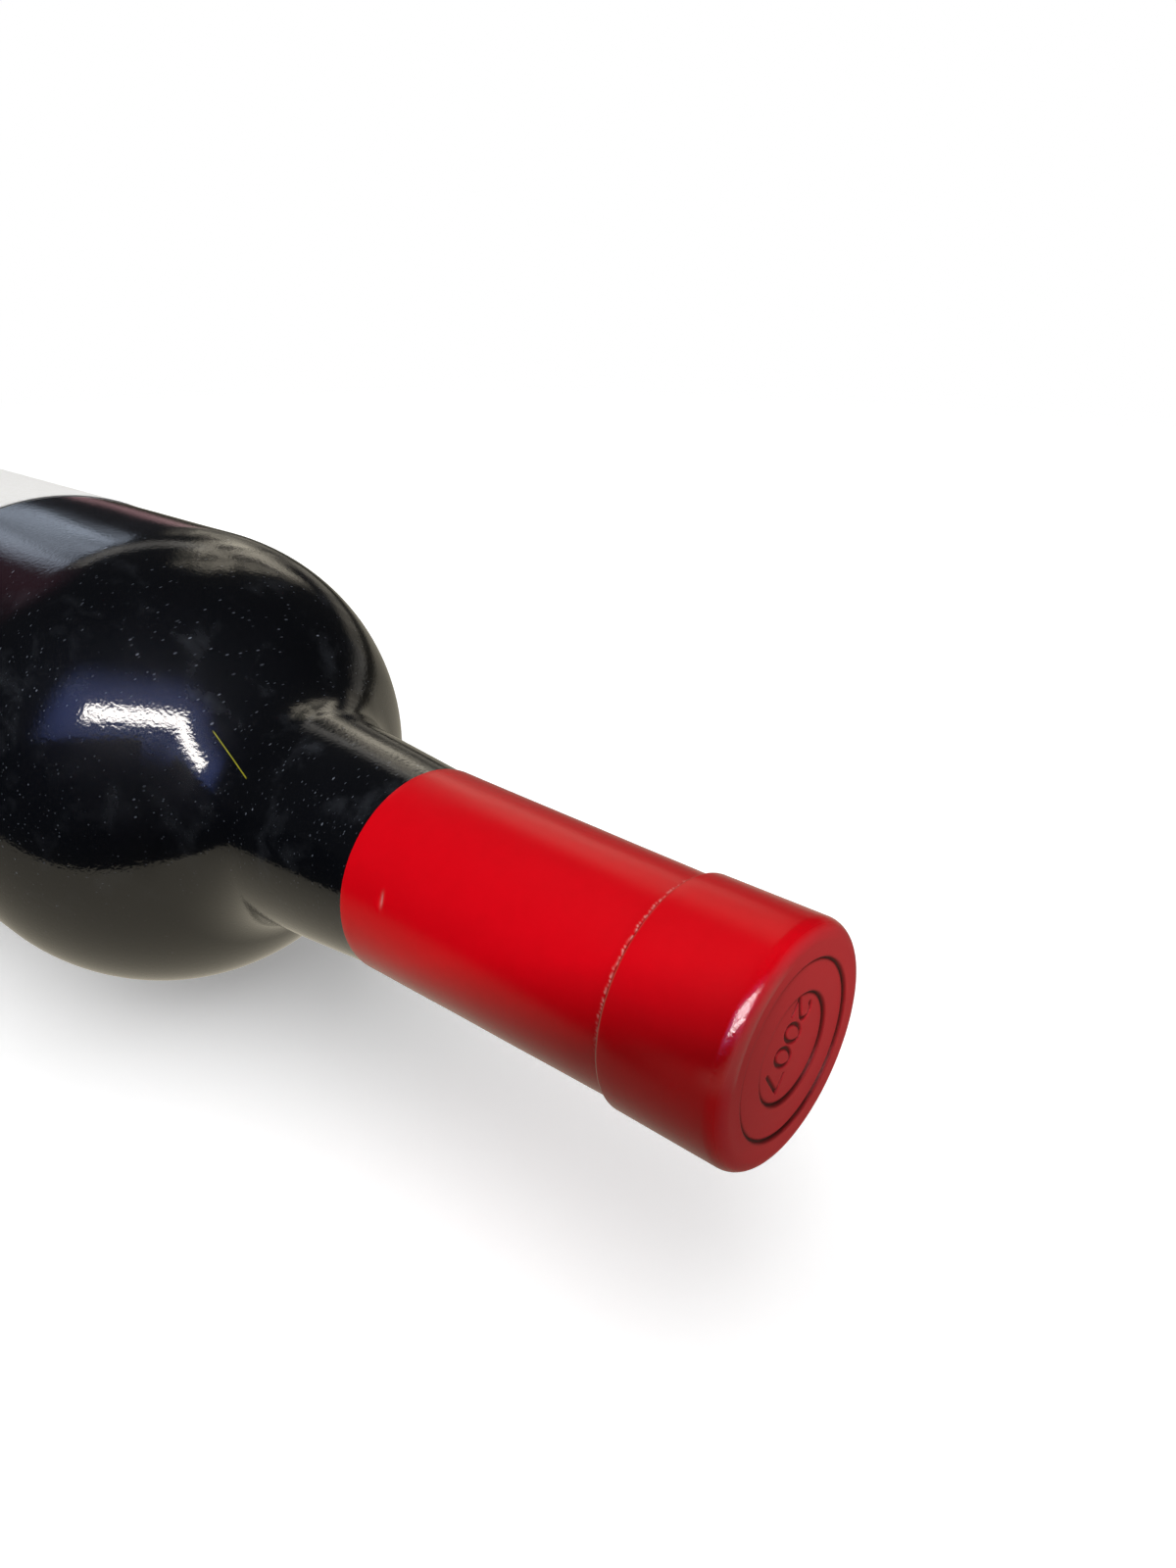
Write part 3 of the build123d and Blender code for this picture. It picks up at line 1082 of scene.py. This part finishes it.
@dataclass
class PaperLabel:
    """One blank sheet of paper bent round the upper side of the body."""

    sizes: BottleSizes
    columns: int = 160
    rows: int = 120
    edge_rounding: float = 0.06 * MM

    def build(self) -> bpy.types.Object:
        """Make the sheet as a closed shell, dress it and let it stand for the label's node.

        Outer face = (x, R sin(a), axis height + R cos(a)) for angle a from one edge to the other,
        with R the outer radius. The inner face is the same on the glass, and the sides join them.

        Returns:
            The new piece.
        """
        s = self.sizes
        low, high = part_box("label")
        outer = high[2] - s.axis_height
        inner = s.body_radius
        half = math.asin(min(1.0, (high[1] - low[1]) / 2 / outer))
        if low[2] < s.axis_height:
            half = math.pi - half
        x = np.linspace(low[0], high[0], self.rows)
        angle = np.linspace(-half, half, self.columns)
        along, bend = np.meshgrid(x, angle, indexing="ij")
        from_edge = np.minimum.reduce([along - low[0], high[0] - along,
                                       (half - np.abs(bend)) * outer])
        settle = self.edge_rounding * (1 - smooth_step(from_edge, 0, 0.4 * MM))
        faces_at = []
        for radius, drop in ((outer, settle), (inner, 0 * settle)):
            r = radius - drop
            faces_at.append(np.stack([along, r * np.sin(bend), s.axis_height + r * np.cos(bend)], 2))
        points = np.concatenate([f.reshape(-1, 3) for f in faces_at])
        rows, columns = along.shape
        number = np.arange(rows * columns).reshape(rows, columns)
        under = number + rows * columns
        top = np.stack([number[:-1, :-1], number[1:, :-1], number[1:, 1:], number[:-1, 1:]], 2)
        bottom = np.stack([under[:-1, :-1], under[:-1, 1:], under[1:, 1:], under[1:, :-1]], 2)
        loop = np.concatenate([number[0, :-1], number[:-1, -1], number[-1, :0:-1], number[:0:-1, 0]])
        after = np.roll(loop, -1)
        shift = rows * columns
        sides = np.stack([loop, after, after + shift, loop + shift], 1)
        faces = np.concatenate([top.reshape(-1, 4), bottom.reshape(-1, 4), sides])
        piece = new_piece("label_paper", points, faces, {})
        piece.data.materials.append(LabelPaper().material())
        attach(piece, "root")
        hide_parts("label")
        return piece


# ---------------------------------------------------------------- studio

class Sees(Enum):
    """Which rays meet a stage object."""

    EVERYTHING = "everything"
    REFLECTIONS = "reflections"


def stage_plane(name: str, corners: Array, material: bpy.types.Material, sees: Sees) -> bpy.types.Object:
    """Add one flat stage object.

    Args:
        name: its name.
        corners: four corners in order.
        material: its material.
        sees: which rays meet it.

    Returns:
        The new object.
    """
    piece = new_piece(name, corners, np.array([[0, 1, 2, 3]]), {})
    piece.data.materials.append(material)
    only_reflections(piece, sees)
    return piece


def only_reflections(piece: bpy.types.Object, sees: Sees) -> None:
    """Leave a studio flag to mirrored rays alone, so that it casts no shadow and isn't seen.

    Args:
        piece: the stage object.
        sees: which rays meet it. Nothing changes if all do.
    """
    if sees is Sees.REFLECTIONS:
        piece.visible_camera = False
        piece.visible_diffuse = False
        piece.visible_transmission = False
        piece.visible_shadow = False
        piece.visible_volume_scatter = False


@dataclass(frozen=True)
class Opening:
    """A soft-edged bright part of the tent, by heading from +X towards +Y and rise, in degrees.

    With a tilt, the rise is measured from the great circle square to it instead of from level.
    """

    heading: tuple[float, float]
    rise: tuple[float, float]
    soft: float
    radiance: float
    tint: str
    tilt: Optional[tuple[float, float, float]] = None
    streaks: float = 0.0                    # how dark the thin folds across it are, from 0 to 1


STRIP_TILT = (-0.3023, 0.5491, 0.7787)
OPENINGS = (
    Opening((-400, 400), (-20, 100), 2.0, 0.032, "#c8ccd8"),
    Opening((-69, -8), (-2.8, 2.8), 1.8, 30.0, "#fff8f0", STRIP_TILT),
    Opening((-90, -4), (-12, 14), 10.0, 1.7, "#8298f2", STRIP_TILT),
    Opening((112, 136), (18, 56), 5.0, 1.7, "#efe6d2", streaks=0.8),
    Opening((98, 146), (-10, 8), 3.0, 0.4, "#efe6d2", streaks=0.5),
    Opening((126, 146), (10, 24), 3.0, 0.7, "#efe6d2", streaks=0.7),
    Opening((132, 172), (34, 41), 2.5, 1.1, "#d8d4cc", streaks=0.4),
    Opening((155, 174), (18, 31), 3.5, 1.7, "#cfdcf0", streaks=0.6),
    Opening((146, 166), (-10, 5), 2.0, 0.7, "#dca8ae", streaks=0.4),
    Opening((50, 98), (-10, 5), 4.0, 0.45, "#f2ece0"),
    Opening((176, 188), (-10, 8), 5.0, 0.45, "#e8e4da"),
    Opening((174, 190), (20, 42), 8.0, 0.2, "#c06a80"),
)


@dataclass(frozen=True)
class Lamp:
    """A square soft lamp: its power in watts, and its side and its middle's place in metres."""

    power: float
    side: float
    place: tuple[float, float, float]


@dataclass
class Studio:
    """A white floor and sky, soft lamps, and dark flags that only mirrored rays meet."""

    sizes: BottleSizes
    floor_reach: float = 9.0
    floor_near: float = 0.28                # plain floor up to here, then it blends into the sky
    floor_far: float = 0.75
    floor_tint: str = "#f8f8f8"
    floor_glow: float = 0.28                # light of its own that the floor shows to the camera
    bounce_tint: str = "#56544c"            # what the floor gives back to matte surfaces
    mirrored_tint: str = "#cfc7b4"          # what the floor shows in the glass and the foil
    behind: tuple[float, float] = (-0.03, 0.08)        # the mirrored floor brightens over this, along X
    behind_strength: tuple[float, float] = (0.52, 1.08)
    ahead: tuple[float, float] = (0.085, 0.14)         # it dims again over this, along X
    ahead_strength: tuple[float, float] = (1.0, 0.6)
    away: tuple[float, float] = (0.36, 0.60)           # it fades over this, by distance
    away_strength: tuple[float, float] = (1.0, 0.12)
    fill_strength: float = 0.24
    soft: Lamp = Lamp(5.0, 1.8, (0.1, -0.3, 1.5))
    over_floor: Lamp = Lamp(90.0, 5.0, (-0.6, -0.7, 1.4))
    over_label: Lamp = Lamp(7.0, 1.2, (-0.05, 0.3, 1.0))
    key: Lamp = Lamp(12.5, 0.32, (0.45, -0.95, 1.00))
    on_face: Lamp = Lamp(6.0, 0.5, (1.5, -0.45, 0.30))
    card_tint: str = "#101010"
    card_distance: float = 40 * MM
    card_overlap: tuple[float, float] = (0.06, 0.02)   # how far the card runs on past each end
    card_height: float = 0.16
    shadow_start: tuple[float, float, float] = (-3.5 * MM, -10.8 * MM, 10.4 * MM)   # from the end face
    shadow_end: tuple[float, float, float] = (-35 * MM, -14.6 * MM, -2.0 * MM)
    tent_radius: float = 3.0
    tent_rise: tuple[float, float] = (-1, 89.5)        # degrees
    tent_grid: tuple[int, int] = (46, 97)
    tent_seam: float = -140                 # heading in degrees where the count of headings starts
    fold_turn: tuple[float, float, float] = (0.35, 0.25, 0.0)
    fold_stretch: tuple[float, float, float] = (9.0, 9.0, 2.2)
    screen_tint: str = "#0c0d12"
    screen_height: float = 0.09
    screen_corners: tuple[tuple[float, float], ...] = ((0.115, -0.060), (0.0, -0.145), (-0.45, -0.16))
    lens: float = 26.21                     # millimetres, on a sensor of the width below
    sensor_width: float = 36.0
    camera_place: tuple[float, float, float] = (46.24 * MM, -90.29 * MM, 81.45 * MM)    # from the end face
    camera_dip: float = 26.34               # degrees below level
    camera_heading: float = 40.05           # degrees from +Y towards -X
    pieces: list[bpy.types.Object] = field(default_factory=list)
    floor_piece: Optional[bpy.types.Object] = None

    def floor(self) -> None:
        """A plain white sheet that keeps the shadow and blends into the white sky far away.

        It bounces little light back up, so that the underside of the bottle stays deep.
        """
        material, tree, output = empty_material("Plain white studio floor")
        rays = add(tree, "ShaderNodeLightPath")
        place = add(tree, "ShaderNodeTexCoord").outputs["Object"]
        distance = add(tree, "ShaderNodeVectorMath", {0: place}, operation="LENGTH")
        far = add(tree, "ShaderNodeMapRange", {
            "Value": distance.outputs["Value"], "From Min": self.floor_near,
            "From Max": self.floor_far}, interpolation_type="SMOOTHSTEP")
        sheet = add(tree, "ShaderNodeBsdfDiffuse", {"Color": linear(self.floor_tint)})
        lit = add(tree, "ShaderNodeEmission", {"Color": (1, 1, 1, 1), "Strength": self.floor_glow})
        white = add(tree, "ShaderNodeAddShader", {0: sheet.outputs[0], 1: lit.outputs[0]})
        bounce = add(tree, "ShaderNodeBsdfDiffuse", {"Color": linear(self.bounce_tint)})
        along = add(tree, "ShaderNodeSeparateXYZ", {0: place})
        strength = 1.0
        for value, (low, high), (first, last) in (
                (along.outputs[0], self.behind, self.behind_strength),
                (distance.outputs["Value"], self.away, self.away_strength),
                (along.outputs[0], self.ahead, self.ahead_strength)):
            ease = add(tree, "ShaderNodeMapRange", {"Value": value, "From Min": low, "From Max": high,
                                                    "To Min": first, "To Max": last})
            strength = add(tree, "ShaderNodeMath", {0: strength, 1: ease.outputs[0]},
                           operation="MULTIPLY").outputs[0]
        mirrored = add(tree, "ShaderNodeEmission", {"Color": linear(self.mirrored_tint),
                                                    "Strength": strength})
        sky = add(tree, "ShaderNodeEmission", {"Color": (1, 1, 1, 1), "Strength": 1.0})
        unseen = add(tree, "ShaderNodeMixShader", {0: rays.outputs["Is Glossy Ray"], 1: bounce.outputs[0],
                                                   2: mirrored.outputs[0]})
        near = add(tree, "ShaderNodeMixShader", {0: rays.outputs["Is Camera Ray"], 1: unseen.outputs[0],
                                                 2: white.outputs[0]})
        shown = add(tree, "ShaderNodeMath", {0: rays.outputs["Is Camera Ray"],
                                             1: rays.outputs["Is Transmission Ray"]}, operation="MAXIMUM")
        away = add(tree, "ShaderNodeMath", {0: shown.outputs[0], 1: far.outputs[0]}, operation="MULTIPLY")
        surface = add(tree, "ShaderNodeMixShader", {0: away.outputs[0], 1: near.outputs[0],
                                                    2: sky.outputs[0]})
        tree.links.new(surface.outputs[0], output.inputs["Surface"])
        reach = self.floor_reach
        corners = np.array([[-reach, -reach, 0], [reach, -reach, 0], [reach, reach, 0], [-reach, reach, 0]])
        self.floor_piece = stage_plane("studio_floor", corners, material, Sees.EVERYTHING)

    def sky(self) -> None:
        """White all round for camera, mirror and see-through rays, and a plain fill for matte surfaces."""
        world = bpy.data.worlds.new("Studio sky")
        bpy.context.scene.world = world
        world.use_nodes = True
        tree = world.node_tree
        tree.nodes.clear()
        rays = add(tree, "ShaderNodeLightPath")
        seen = add(tree, "ShaderNodeMath", {0: rays.outputs["Is Camera Ray"],
                                            1: rays.outputs["Is Glossy Ray"]}, operation="MAXIMUM")
        shown = add(tree, "ShaderNodeMath", {0: seen.outputs[0], 1: rays.outputs["Is Transmission Ray"]},
                    operation="MAXIMUM")
        strength = add(tree, "ShaderNodeMapRange", {"Value": shown.outputs[0], "To Min": self.fill_strength,
                                                    "To Max": 1.0})
        white = add(tree, "ShaderNodeBackground", {"Color": (1, 1, 1, 1), "Strength": strength.outputs[0]})
        output = add(tree, "ShaderNodeOutputWorld")
        tree.links.new(white.outputs[0], output.inputs["Surface"])

    def hang(self, name: str, lamp: Lamp,
             lights: Optional[list[bpy.types.Object]] = None) -> bpy.types.Object:
        """Hang a lamp that faces the neck's root and that mirrored rays don't meet.

        Args:
            name: the lamp's name.
            lamp: its power, side and place.
            lights: the only pieces it lights, or None for all.

        Returns:
            The lamp's object.
        """
        data = bpy.data.lights.new(name, "AREA")
        data.shape = "SQUARE"
        data.size = lamp.side
        data.energy = lamp.power
        holder = bpy.data.objects.new(name, data)
        aim = Vector((self.sizes.shoulder_x, 0, self.sizes.axis_height)) - Vector(lamp.place)
        holder.location = lamp.place
        holder.rotation_euler = aim.to_track_quat("-Z", "Y").to_euler()
        holder.visible_glossy = False
        bpy.context.collection.objects.link(holder)
        if lights:
            chosen = bpy.data.collections.new(f"{name}_lights")
            for piece in lights:
                chosen.objects.link(piece)
            holder.light_linking.receiver_collection = chosen
        return holder

    def lamps(self) -> None:
        """One soft lamp for all, one for the floor, one for the label, and two for the glass and foil.

        Only the bottle's own pieces shade the soft lamp and the floor lamp.
        """
        *shiny, label = self.pieces
        soft = self.hang("soft_lamp", self.soft)
        over_floor = self.hang("floor_lamp", self.over_floor, [self.floor_piece])
        self.hang("label_lamp", self.over_label, [label])
        key = self.hang("key_lamp", self.key, shiny)
        self.hang("face_lamp", self.on_face, shiny)
        self.shade(key)
        others = bpy.data.collections.new("soft_lamp_blockers")
        for piece in self.pieces:
            others.objects.link(piece)
        for holder in (soft, over_floor):
            holder.light_linking.blocker_collection = others

    def shade(self, key: bpy.types.Object) -> None:
        """Hold a card in front of the collar, which shades its lower part from the key lamp alone.

        The card's upper edge is parallel to the shadow's edge, and stands off it towards the lamp.

        Args:
            key: the key lamp.
        """
        s = self.sizes
        black, tree, output = empty_material("Matte black studio card")
        cloth = add(tree, "ShaderNodeBsdfDiffuse", {"Color": linear(self.card_tint)})
        tree.links.new(cloth.outputs[0], output.inputs["Surface"])
        axis = Vector((s.end_x, 0, s.axis_height))
        first = axis + Vector(self.shadow_start)
        second = axis + Vector(self.shadow_end)
        towards = (Vector(self.key.place) - first).normalized() * self.card_distance
        run = (second - first).normalized()
        before, beyond = self.card_overlap
        upper = [first - run * before + towards, second + run * beyond + towards]
        down = Vector((0, 0, -self.card_height))
        corners = np.array([upper[0], upper[1], upper[1] + down, upper[0] + down])
        card = stage_plane("studio_card", corners, black, Sees.REFLECTIONS)
        card.visible_shadow = True
        card.visible_glossy = False
        blockers = bpy.data.collections.new("key_lamp_blockers")
        for piece in [*self.pieces, card]:
            blockers.objects.link(piece)
        key.light_linking.blocker_collection = blockers

    def tent(self) -> None:
        """A dark dome with soft bright openings, seen by mirrored rays only.

        Each opening's mask is the product of four eased edges, and the openings' lights add up.
        """
        material, tree, output = empty_material("Matte black studio tent with soft openings")
        place = add(tree, "ShaderNodeTexCoord").outputs["Object"]
        way = add(tree, "ShaderNodeVectorMath", {0: place}, operation="NORMALIZE")
        part = add(tree, "ShaderNodeSeparateXYZ", {0: way.outputs[0]})
        rise = add(tree, "ShaderNodeMath", {0: part.outputs[2]}, operation="ARCSINE")
        turned = add(tree, "ShaderNodeMath", {0: part.outputs[1], 1: part.outputs[0]}, operation="ARCTAN2")
        heading = add(tree, "ShaderNodeMath", {
            0: turned.outputs[0], 1: math.radians(self.tent_seam + 360),
            2: math.radians(self.tent_seam)}, operation="WRAP")
        hung = add(tree, "ShaderNodeMapping", {"Vector": way.outputs[0], "Rotation": self.fold_turn,
                                               "Scale": self.fold_stretch})
        cloth = add(tree, "ShaderNodeTexNoise", {"Vector": hung.outputs[0], "Scale": 1.0, "Detail": 4.0,
                                                 "Roughness": 0.55, "Distortion": 1.2})
        folds = add(tree, "ShaderNodeMapRange", {"Value": cloth.outputs[0], "From Min": 0.40,
                                                 "From Max": 0.60}, interpolation_type="SMOOTHSTEP")
        total = (0.0, 0.0, 0.0)
        for opening in OPENINGS:
            across = rise.outputs[0]
            if opening.tilt is not None:
                from_band = add(tree, "ShaderNodeVectorMath", {0: way.outputs[0], 1: opening.tilt},
                                operation="DOT_PRODUCT")
                across = add(tree, "ShaderNodeMath", {0: from_band.outputs["Value"]},
                             operation="ARCSINE").outputs[0]
            mask = 1.0
            for value, (low, high) in ((heading.outputs[0], opening.heading), (across, opening.rise)):
                for edge, sign in ((low, 1), (high, -1)):
                    outside = math.radians(edge - sign * opening.soft)
                    inside = math.radians(edge + sign * opening.soft)
                    ease = add(tree, "ShaderNodeMapRange", {
                        "Value": value, "From Min": outside, "From Max": inside},
                        interpolation_type="SMOOTHSTEP")
                    mask = add(tree, "ShaderNodeMath", {0: mask, 1: ease.outputs[0]},
                               operation="MULTIPLY").outputs[0]
            if opening.streaks:
                kept = add(tree, "ShaderNodeMath", {0: folds.outputs[0], 1: -opening.streaks, 2: 1.0},
                           operation="MULTIPLY_ADD")
                mask = add(tree, "ShaderNodeMath", {0: mask, 1: kept.outputs[0]},
                           operation="MULTIPLY").outputs[0]
            tint = tuple(c * opening.radiance for c in linear(opening.tint)[:3])
            glow = add(tree, "ShaderNodeVectorMath", {0: tint, "Scale": mask}, operation="SCALE")
            total = add(tree, "ShaderNodeVectorMath", {0: total, 1: glow.outputs[0]},
                        operation="ADD").outputs[0]
        light = add(tree, "ShaderNodeEmission", {"Color": total, "Strength": 1.0})
        tree.links.new(light.outputs[0], output.inputs["Surface"])
        rows, columns = self.tent_grid
        levels = np.radians(np.linspace(*self.tent_rise, rows))
        up, around = np.meshgrid(levels, np.linspace(0, 2 * math.pi, columns), indexing="ij")
        points = self.tent_radius * np.stack([np.cos(up) * np.cos(around), np.cos(up) * np.sin(around),
                                              np.sin(up)], 2)
        number = np.arange(up.size).reshape(up.shape)
        faces = np.stack([number[:-1, :-1], number[:-1, 1:], number[1:, 1:], number[1:, :-1]], 2)
        tent = new_piece("studio_tent", points.reshape(-1, 3), faces.reshape(-1, 4), {})
        tent.data.materials.append(material)
        only_reflections(tent, Sees.REFLECTIONS)

    def screens(self) -> None:
        """A low dark screen in front, which the glass mirrors above the floor's edge."""
        black, tree, output = empty_material("Matte black studio screen")
        dark = add(tree, "ShaderNodeEmission", {"Color": linear(self.screen_tint), "Strength": 1.0})
        tree.links.new(dark.outputs[0], output.inputs["Surface"])
        top = self.screen_height
        for count, (left, right) in enumerate(zip(self.screen_corners[:-1], self.screen_corners[1:])):
            panel = np.array([[*left, 0.0], [*right, 0.0], [*right, top], [*left, top]])
            stage_plane(f"studio_screen_{count}", panel, black, Sees.REFLECTIONS)

    def camera(self) -> None:
        """Close to the capsule's end, looking down and along the bottle towards its shoulder."""
        s = self.sizes
        data = bpy.data.cameras.new("camera")
        data.sensor_fit = "AUTO"
        data.sensor_width = self.sensor_width
        data.lens = self.lens
        holder = bpy.data.objects.new("camera", data)
        holder.location = Vector((s.end_x, 0, s.axis_height)) + Vector(self.camera_place)
        holder.rotation_euler = (math.radians(90 - self.camera_dip), 0, math.radians(self.camera_heading))
        bpy.context.collection.objects.link(holder)
        bpy.context.scene.camera = holder

    def build(self) -> None:
        """Set up the camera, the sky, the floor, the lamps and the flags."""
        self.camera()
        self.sky()
        self.floor()
        self.lamps()
        self.tent()
        self.screens()
        bpy.context.scene.view_settings.view_transform = "Standard"


def main() -> None:
    """Build the bottle piece by piece, then the studio round it."""
    logging.basicConfig(level=logging.INFO, format="%(name)s: %(message)s")
    sizes = BottleSizes()
    pieces = []
    for maker in (GlassBottle(sizes), FoilCapsule(sizes), PaperLabel(sizes)):
        piece = maker.build()
        LOG.info("%s: %d faces", piece.name, len(piece.data.polygons))
        pieces.append(piece)
    Studio(sizes, pieces=pieces).build()
    LOG.info("studio: camera, lamps, floor and flags are set up")


if __name__ == "__main__":
    main()
